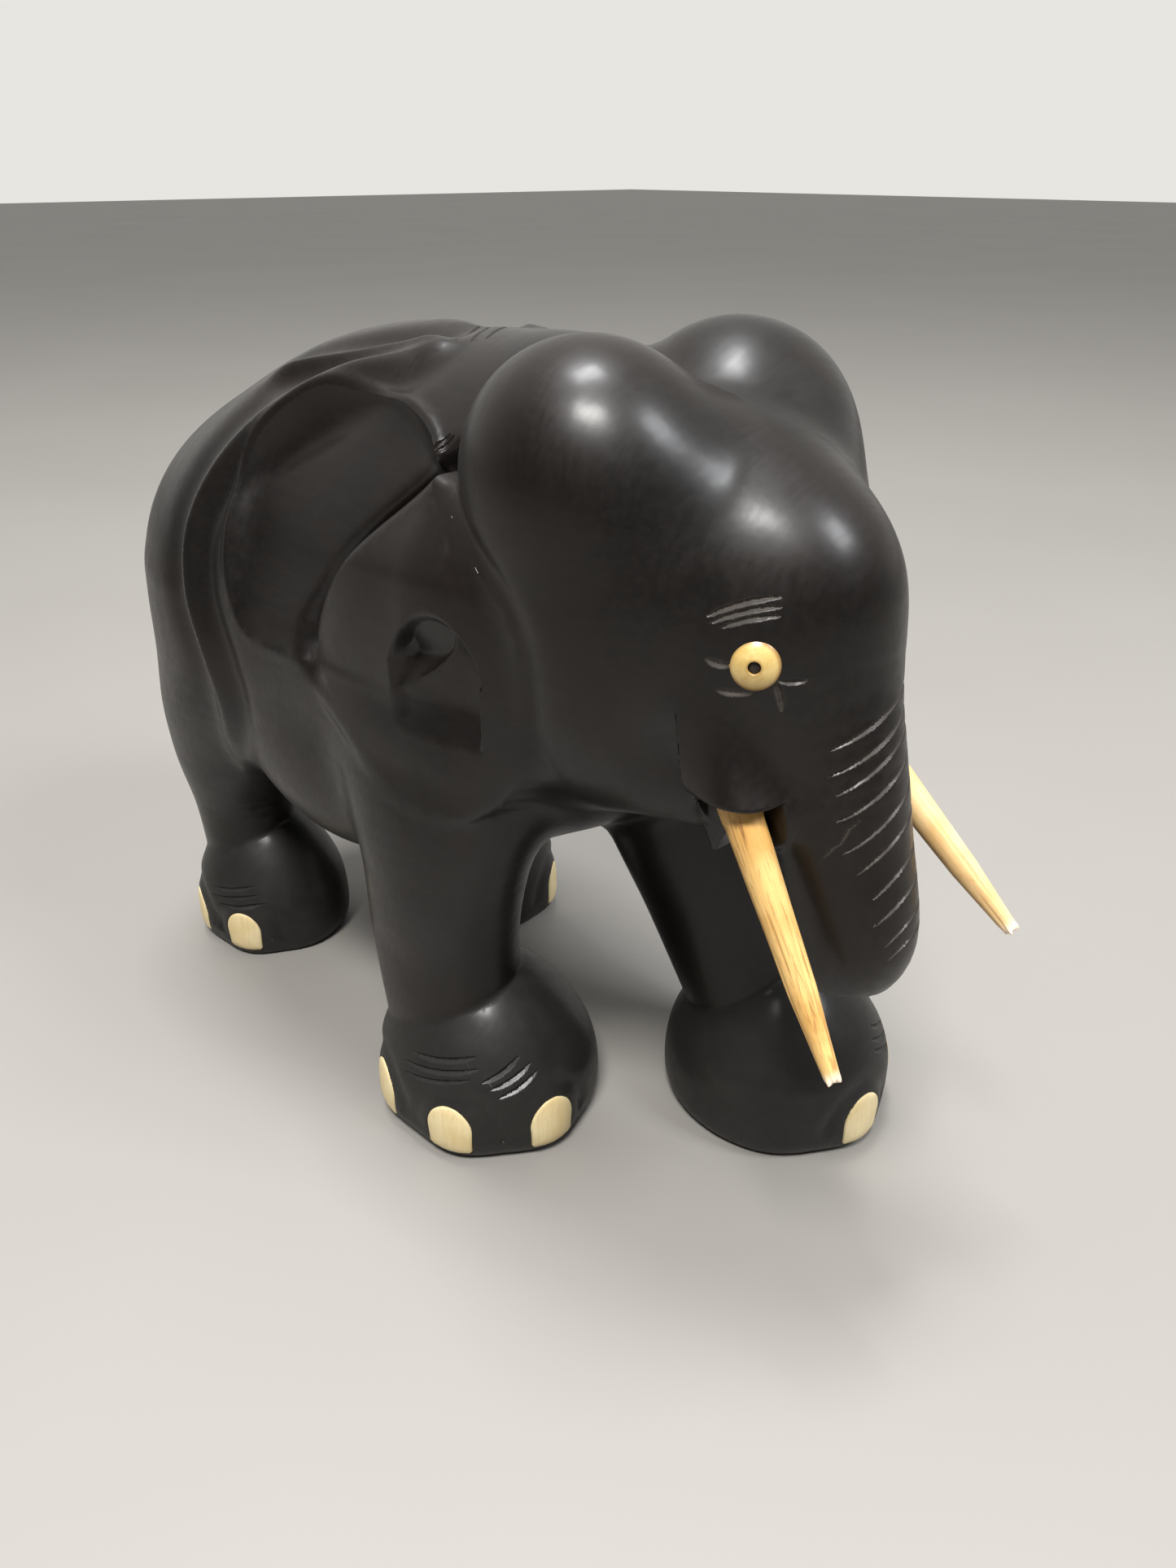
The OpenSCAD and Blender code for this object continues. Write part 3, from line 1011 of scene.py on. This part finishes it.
class Nodes:
    """A small helper over a material's node tree."""

    def __init__(self, name):
        self.mat = bpy.data.materials.new(name)
        self.mat.use_nodes = True
        self.tree = self.mat.node_tree
        self.shader = self.tree.nodes["Principled BSDF"]

    def add(self, kind, **inputs):
        node = self.tree.nodes.new(kind)
        for key, value in inputs.items():
            self.put(node.inputs[key.replace("_", " ")], value)
        return node

    def put(self, socket, value):
        if isinstance(value, bpy.types.NodeSocket):
            self.tree.links.new(value, socket)
        else:
            socket.default_value = value

    def point(self, scale=(1, 1, 1), turn=(0, 0, 0)):
        coords = self.add("ShaderNodeTexCoord")
        mapping = self.add("ShaderNodeMapping", Vector=coords.outputs["Object"])
        mapping.inputs["Scale"].default_value = scale
        mapping.inputs["Rotation"].default_value = turn
        return mapping.outputs["Vector"]

    def noise(self, at, scale, detail=3.0, rough=0.5, distortion=0.0):
        node = self.add("ShaderNodeTexNoise", Vector=at, Scale=scale, Detail=detail,
                        Roughness=rough, Distortion=distortion)
        return node.outputs["Fac"]

    def mix(self, share, a, b):
        node = self.add("ShaderNodeMix")
        node.data_type = "RGBA"
        self.put(node.inputs[0], share)
        self.put(node.inputs[6], a if isinstance(a, bpy.types.NodeSocket) else tuple(a) + (1,))
        self.put(node.inputs[7], b if isinstance(b, bpy.types.NodeSocket) else tuple(b) + (1,))
        return node.outputs[2]

    def math(self, op, a, b=0.0, clamp=False):
        node = self.add("ShaderNodeMath")
        node.operation = op
        node.use_clamp = clamp
        self.put(node.inputs[0], a)
        self.put(node.inputs[1], b)
        return node.outputs[0]

    def span(self, value, lo, hi, out_lo, out_hi):
        node = self.add("ShaderNodeMapRange", Value=value)
        for key, number in zip(("From Min", "From Max", "To Min", "To Max"), (lo, hi, out_lo, out_hi)):
            self.put(node.inputs[key], number)
        return node.outputs[0]

    def attribute(self, name):
        node = self.add("ShaderNodeAttribute")
        node.attribute_name = name
        return node.outputs["Fac"]

    def bump(self, height, strength, distance, normal=None):
        node = self.add("ShaderNodeBump", Height=height, Strength=strength, Distance=distance)
        if normal is not None:
            self.put(node.inputs["Normal"], normal)
        return node.outputs["Normal"]

    def set(self, **values):
        for key, value in values.items():
            self.put(self.shader.inputs[key.replace("_", " ")], value)


def ebony_material():
    n = Nodes("ebony_polished")
    plain = n.point()
    along = n.point((0.16, 1, 1))
    patches = n.noise(plain, 26.0, 4.0, 0.55, 0.6)
    grain = n.noise(along, 520.0, 4.0, 0.62, 0.4)
    dark = n.mix(n.span(patches, 0.36, 0.68, 0, 1), (0.0026, 0.0020, 0.0017), (0.0060, 0.0032, 0.0022))
    wood = n.mix(n.span(grain, 0.42, 0.75, 0, 0.55), dark, (0.0085, 0.0056, 0.0043))
    foot = n.attribute("foot")
    dust = n.noise(plain, 90.0, 5.0, 0.7, 0.3)
    dull = n.mix(n.span(dust, 0.35, 0.75, 0.1, 0.8), (0.0085, 0.0078, 0.0070), (0.019, 0.0178, 0.0160))
    wood = n.mix(n.math("MULTIPLY", foot, 0.85), wood, dull)
    cut_mask = n.math("MULTIPLY", n.attribute("cut"), n.math("SUBTRACT", 1.0, foot))
    fresh = n.math("MULTIPLY", cut_mask, n.span(dust, 0.3, 0.7, 0.35, 1.0))
    wood = n.mix(fresh, wood, (0.060, 0.050, 0.042))
    haze = n.noise(plain, 60.0, 5.0, 0.62, 0.8)
    strokes = n.noise(n.point((1, 0.07, 0.35), (0.3, 0.5, 0.7)), 900.0, 2.0, 0.5)
    rough = n.span(haze, 0.3, 0.72, 0.38, 0.48)
    rough = n.math("ADD", rough, n.span(strokes, 0.35, 0.7, -0.02, 0.05))
    rough = n.math("ADD", rough, n.math("MULTIPLY", foot, 0.17))
    rough = n.math("ADD", rough, n.math("MULTIPLY", cut_mask, 0.25), True)
    waves = n.noise(plain, 130.0, 2.0, 0.5)
    normal = n.bump(waves, 0.10, 0.0006)
    normal = n.bump(strokes, 0.10, 0.00006, normal)
    normal = n.bump(grain, 0.12, 0.00008, normal)
    n.set(Base_Color=wood, Roughness=rough, Normal=normal, IOR=1.33)
    n.set(Coat_Weight=0.25, Coat_Roughness=0.24, Coat_Normal=normal)
    return n.mat


def nail_material():
    n = Nodes("toenail_cream")
    up = n.point((1, 1, 0.09))
    grain = n.noise(up, 900.0, 4.0, 0.65, 0.6)
    cloud = n.noise(n.point(), 120.0, 3.0)
    base = n.mix(n.span(cloud, 0.35, 0.7, 0, 1), (0.66, 0.52, 0.27), (0.74, 0.63, 0.38))
    base = n.mix(n.span(grain, 0.52, 0.72, 0, 0.6), base, (0.56, 0.40, 0.17))
    normal = n.bump(grain, 0.25, 0.0001)
    n.set(Base_Color=base, Roughness=n.span(cloud, 0.3, 0.7, 0.42, 0.55), Normal=normal)
    n.set(Subsurface_Weight=0.08, Subsurface_Scale=0.002)
    return n.mat


def tusk_material(side, pale):
    """Streaked along the tusk; the pale one is the left."""
    n = Nodes("tusk_" + side)
    way = tusk_frame(side)[1]
    dip = math.atan2(-way[2], math.hypot(way[0], way[1]))
    coords = n.add("ShaderNodeTexCoord").outputs["Object"]
    first = n.add("ShaderNodeMapping", Vector=coords)
    first.inputs["Rotation"].default_value = (0, 0, -math.atan2(way[1], way[0]))
    second = n.add("ShaderNodeMapping", Vector=first.outputs["Vector"])
    second.inputs["Rotation"].default_value = (0, -dip, 0)
    third = n.add("ShaderNodeMapping", Vector=second.outputs["Vector"])
    third.inputs["Scale"].default_value = (0.07, 1, 1)
    long = third.outputs["Vector"]
    streak = n.noise(long, 620.0, 5.0, 0.62, 1.4)
    fleck = n.noise(long, 1500.0, 3.0, 0.7, 0.8)
    cloud = n.noise(second.outputs["Vector"], 70.0, 3.0)
    light = (0.76, 0.57, 0.31) if pale else (0.70, 0.46, 0.17)
    gold = (0.66, 0.42, 0.18) if pale else (0.56, 0.31, 0.085)
    brown = (0.42, 0.23, 0.08) if pale else (0.24, 0.10, 0.024)
    base = n.mix(n.span(cloud, 0.35, 0.68, 0, 1), light, gold)
    base = n.mix(n.span(streak, 0.50, 0.68, 0, 0.6 if pale else 0.85), base, brown)
    base = n.mix(n.span(fleck, 0.62, 0.74, 0, 0.25 if pale else 0.7), base, (0.20, 0.085, 0.022))
    tip = n.attribute("tip")
    base = n.mix(tip, base, (0.86, 0.70, 0.60))
    normal = n.bump(streak, 0.35, 0.00022)
    normal = n.bump(fleck, 0.30, 0.0001, normal)
    n.set(Base_Color=base, Roughness=n.span(streak, 0.4, 0.7, 0.46, 0.68), Normal=normal)
    n.set(Subsurface_Weight=0.06, Subsurface_Scale=0.002)
    return n.mat


def eye_material():
    n = Nodes("eye_horn")
    rim = n.attribute("rim")
    cloud = n.noise(n.point(), 420.0, 4.0, 0.6, 0.6)
    base = n.mix(n.span(cloud, 0.35, 0.7, 0, 1), (0.52, 0.35, 0.11), (0.60, 0.45, 0.18))
    base = n.mix(rim, base, (0.27, 0.15, 0.045))
    normal = n.bump(cloud, 0.15, 0.00008)
    n.set(Base_Color=base, Roughness=n.span(cloud, 0.3, 0.7, 0.26, 0.4), Normal=normal)
    n.set(Subsurface_Weight=0.1, Subsurface_Scale=0.0015, Coat_Weight=0.25, Coat_Roughness=0.15)
    return n.mat


def pupil_material():
    n = Nodes("pupil_dark")
    cloud = n.noise(n.point(), 900.0, 3.0)
    base = n.mix(n.span(cloud, 0.35, 0.7, 0, 1), (0.007, 0.005, 0.004), (0.024, 0.013, 0.008))
    n.set(Base_Color=base, Roughness=n.span(cloud, 0.3, 0.7, 0.4, 0.6))
    return n.mat


def floor_material():
    n = Nodes("floor_pale")
    cloud = n.noise(n.point(), 3.0, 3.0)
    base = n.mix(n.span(cloud, 0.3, 0.7, 0, 1), (0.225, 0.214, 0.199), (0.240, 0.229, 0.214))
    n.set(Base_Color=base, Roughness=0.55)
    return n.mat


# ---------------------------------------------------------------- the pieces

def build_carving(material):
    verts, tris, normals = sculpt(carved, BLOCK_LOW, BLOCK_HIGH, GRID, ROUNDS, BEND, SHORTEST,
                                  detail_zone)
    obj = make_object("carved_block", verts, tris, normals)
    pale_cuts = knife_cuts(verts, side_of(verts)) * (verts[:, 0] > FACE_X)
    add_attribute(obj, "cut", np.clip(pale_cuts / 0.28, 0, 1))
    on_foot = np.zeros(len(verts))
    for name, rows in LEGS.items():
        cx, cy, _ = FEET[name]
        m = within(verts, (cx - 45, cy - 45, -1), (cx + 45, cy + 45, 60))
        p = verts[m]
        share = step(0.9, 0.0, foot(p, name) - limb(p, rows)) * step(1.5, 0.3, foot(p, name))
        on_foot[m] = np.maximum(on_foot[m], share)
    add_attribute(obj, "foot", on_foot)
    obj.data.materials.append(material)
    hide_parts("carving")
    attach(obj, "root")


def build_tusk(side):
    root, way = tusk_frame(side)
    across = np.cross(way, [0.0, 0.0, 1.0])
    across /= np.linalg.norm(across)
    over = np.cross(across, way)
    around, rings = 72, 240
    show = TUSK_SHOW[side]
    rng = np.random.default_rng(3 if side == "right" else 5)
    t = np.linspace(-TUSK_PEG + 0.4, show - 0.5, rings)
    radius = np.interp(t, [-20, 1, show * 0.3, show * 0.66, show - 1.3, show],
                       [TUSK_R, TUSK_R, TUSK_R * 0.88, TUSK_R * 0.74, TUSK_TIP_R, TUSK_TIP_R * 0.8])
    radius = radius - 0.12
    angle = np.linspace(0, 2 * math.pi, around, endpoint=False)
    A, T = np.meshgrid(angle, t)
    R = np.repeat(radius[:, None], around, 1)
    ribs = np.zeros_like(R)
    for _ in range(26):
        at, start, length = rng.uniform(0, 2 * math.pi), rng.uniform(0, show), rng.uniform(8, 30)
        turn = (A - at + 0.02 * (T - start) * rng.uniform(-1, 1) + math.pi) % (2 * math.pi) - math.pi
        ribs -= rng.uniform(0.1, 0.34) * bell(turn, rng.uniform(0.05, 0.16)) * bell(T - start, length)
    shown = step(1.0, 4.0, T)
    R = R + shown * (ribs - 0.10 * (1 + np.cos(2 * A + 0.7)) * (R / TUSK_R))
    ragged = bell(T - show, 2.2) * (0.35 * np.sin(3 * A + 1) + 0.25 * np.sin(7 * A))
    R = np.maximum(R + ragged * 0.7, 0.3)
    end_shift = ragged * 0.9
    P = (root + (T + end_shift)[..., None] * way + (R * np.cos(A))[..., None] * across
         + (R * np.sin(A))[..., None] * over).reshape(-1, 3)
    P = np.vstack([P, root + (t[0] - 0.1) * way, root + (t[-1] + 0.35) * way])
    obj = make_object("tusk_%s_shaft" % side, P, [f[::-1] for f in tube_faces(rings, around)])
    tip = np.concatenate([step(show - 4, show - 0.5, T).ravel(), [0, 1]])
    add_attribute(obj, "tip", tip * 0.8)
    obj.data.materials.append(tusk_material(side, side == "left"))
    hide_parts("tusk_" + side)
    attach(obj, "tusk_" + side)


def lathe(profile, at, axis, across, around):
    over = np.cross(axis, across)
    points = []
    for r, t in profile:
        for i in range(around):
            a = 2 * math.pi * i / around
            points.append(at + t * axis + r * (math.cos(a) * across + math.sin(a) * over))
    return np.array(points)


def build_eye(side, bead_material, pin_material):
    s = np.array([1, sign_of(side) * -1, 1])
    at, out, across = EYE_AT * s, EYE_OUT * s, EYE_AHEAD * s
    around = 72
    ball = (EYE_R ** 2 + EYE_DOME ** 2) / (2 * EYE_DOME)
    profile = [(EYE_R - 0.02, -EYE_DEPTH + 0.15)]
    profile += [(EYE_R - 0.02, -EYE_DEPTH * k) for k in (0.7, 0.4, 0.1)]
    rim = []
    for r in np.linspace(EYE_R - 0.04, PUPIL_R + 0.35, 16):
        rim.append((r, EYE_DOME - ball + math.sqrt(ball * ball - r * r)))
    profile += rim
    top = rim[-1][1]
    profile += [(PUPIL_R + 0.12, top - 0.02), (PUPIL_R + 0.06, top - 0.25),
                (PUPIL_R + 0.06, top - 1.5), (PUPIL_R + 0.06, -EYE_DEPTH + 0.15)]
    P = lathe(profile, at, out, across, around)
    rings = len(profile)
    faces = tube_faces(rings, around, False)
    faces += [((rings - 1) * around + i, (rings - 1) * around + (i + 1) % around, (i + 1) % around, i)
              for i in range(around)]
    bead = make_object("eye_bead_" + side, P, faces)
    radii = np.repeat([p[0] for p in profile], around)
    heights = np.repeat([p[1] for p in profile], around)
    outer = step(EYE_R - 1.1, EYE_R - 0.1, radii)
    inner = 0.6 * step(PUPIL_R + 0.8, PUPIL_R + 0.2, radii)
    add_attribute(bead, "rim", np.maximum(outer, inner) * (heights > -1))
    bead.data.materials.append(bead_material)
    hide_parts("eye_" + side)
    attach(bead, "root")
    height = top - 0.75
    profile = [(PUPIL_R - 0.02, -EYE_DEPTH + 0.2), (PUPIL_R - 0.02, height - 0.15), (PUPIL_R - 0.2, height),
               (PUPIL_R * 0.5, height + 0.12)]
    P = lathe(profile, at, out, across, 40)
    P = np.vstack([P, at + (-EYE_DEPTH + 0.2) * out, at + (height + 0.16) * out])
    faces = tube_faces(len(profile), 40)
    pin = make_object("pupil_%s_plug" % side, P, faces)
    pin.data.materials.append(pin_material)
    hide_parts("pupil_pin_" + side)
    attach(pin, "root")


def build_nail(name, node, at, out, across, share, material):
    outline = np.array(nail_outline(share))
    middle = np.array([0, NAIL_H * share * 0.45])
    shares = [0.12, 0.3, 0.48, 0.64, 0.78, 0.88, 0.95, 0.985, 1.0]
    proud = [0.34, 0.34, 0.34, 0.33, 0.31, 0.27, 0.2, 0.1, -0.1]
    rings = []
    for f, lift in zip(shares, proud):
        flat = middle + (outline - middle) * f
        rings.append((flat, lift))
    count = len(outline)
    flat = np.vstack([r[0] for r in rings] + [middle[None]])
    lift = np.concatenate([np.full(count, r[1]) for r in rings] + [[0.34]])
    P = at + flat[:, :1] * across + flat[:, 1:] * [[0, 0, 1]]
    for _ in range(6):
        P = P - foot(P, name)[:, None] * out
    P = P + lift[:, None] * out
    P[:, 2] = np.maximum(P[:, 2], 0.3)
    back = P[(len(rings) - 1) * count:len(rings) * count] - 2.2 * out
    back_middle = P[-1] - 3.2 * out
    P = np.vstack([P[:-1], back, P[-1:], [back_middle]])
    faces = []
    for j in range(len(rings)):
        for i in range(count):
            k = (i + 1) % count
            faces.append((j * count + i, (j + 1) * count + i, (j + 1) * count + k, j * count + k))
    front, rear = (len(rings) + 1) * count, (len(rings) + 1) * count + 1
    last = len(rings) * count
    for i in range(count):
        k = (i + 1) % count
        faces.append((front, i, k))
        faces.append((rear, last + k, last + i))
    obj = make_object("nail_" + node, P, faces)
    obj.data.materials.append(material)
    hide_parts(node)
    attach(obj, "root")


def build_floor():
    half = 9000.0
    P = np.array([[-half, -half, 0], [half, -half, 0], [half, half, 0], [-half, half, 0]])
    floor = make_object("floor", P, np.array([[0, 1, 2, 3]]), smooth=False)
    floor.data.materials.append(floor_material())


bpy.context.scene.view_settings.view_transform = "Standard"
add_camera()
add_lights()
build_floor()
build_carving(ebony_material())
bead, pin, cream = eye_material(), pupil_material(), nail_material()
for side in ("right", "left"):
    build_tusk(side)
    build_eye(side, bead, pin)
for nail in NAILS:
    build_nail(*nail, cream)
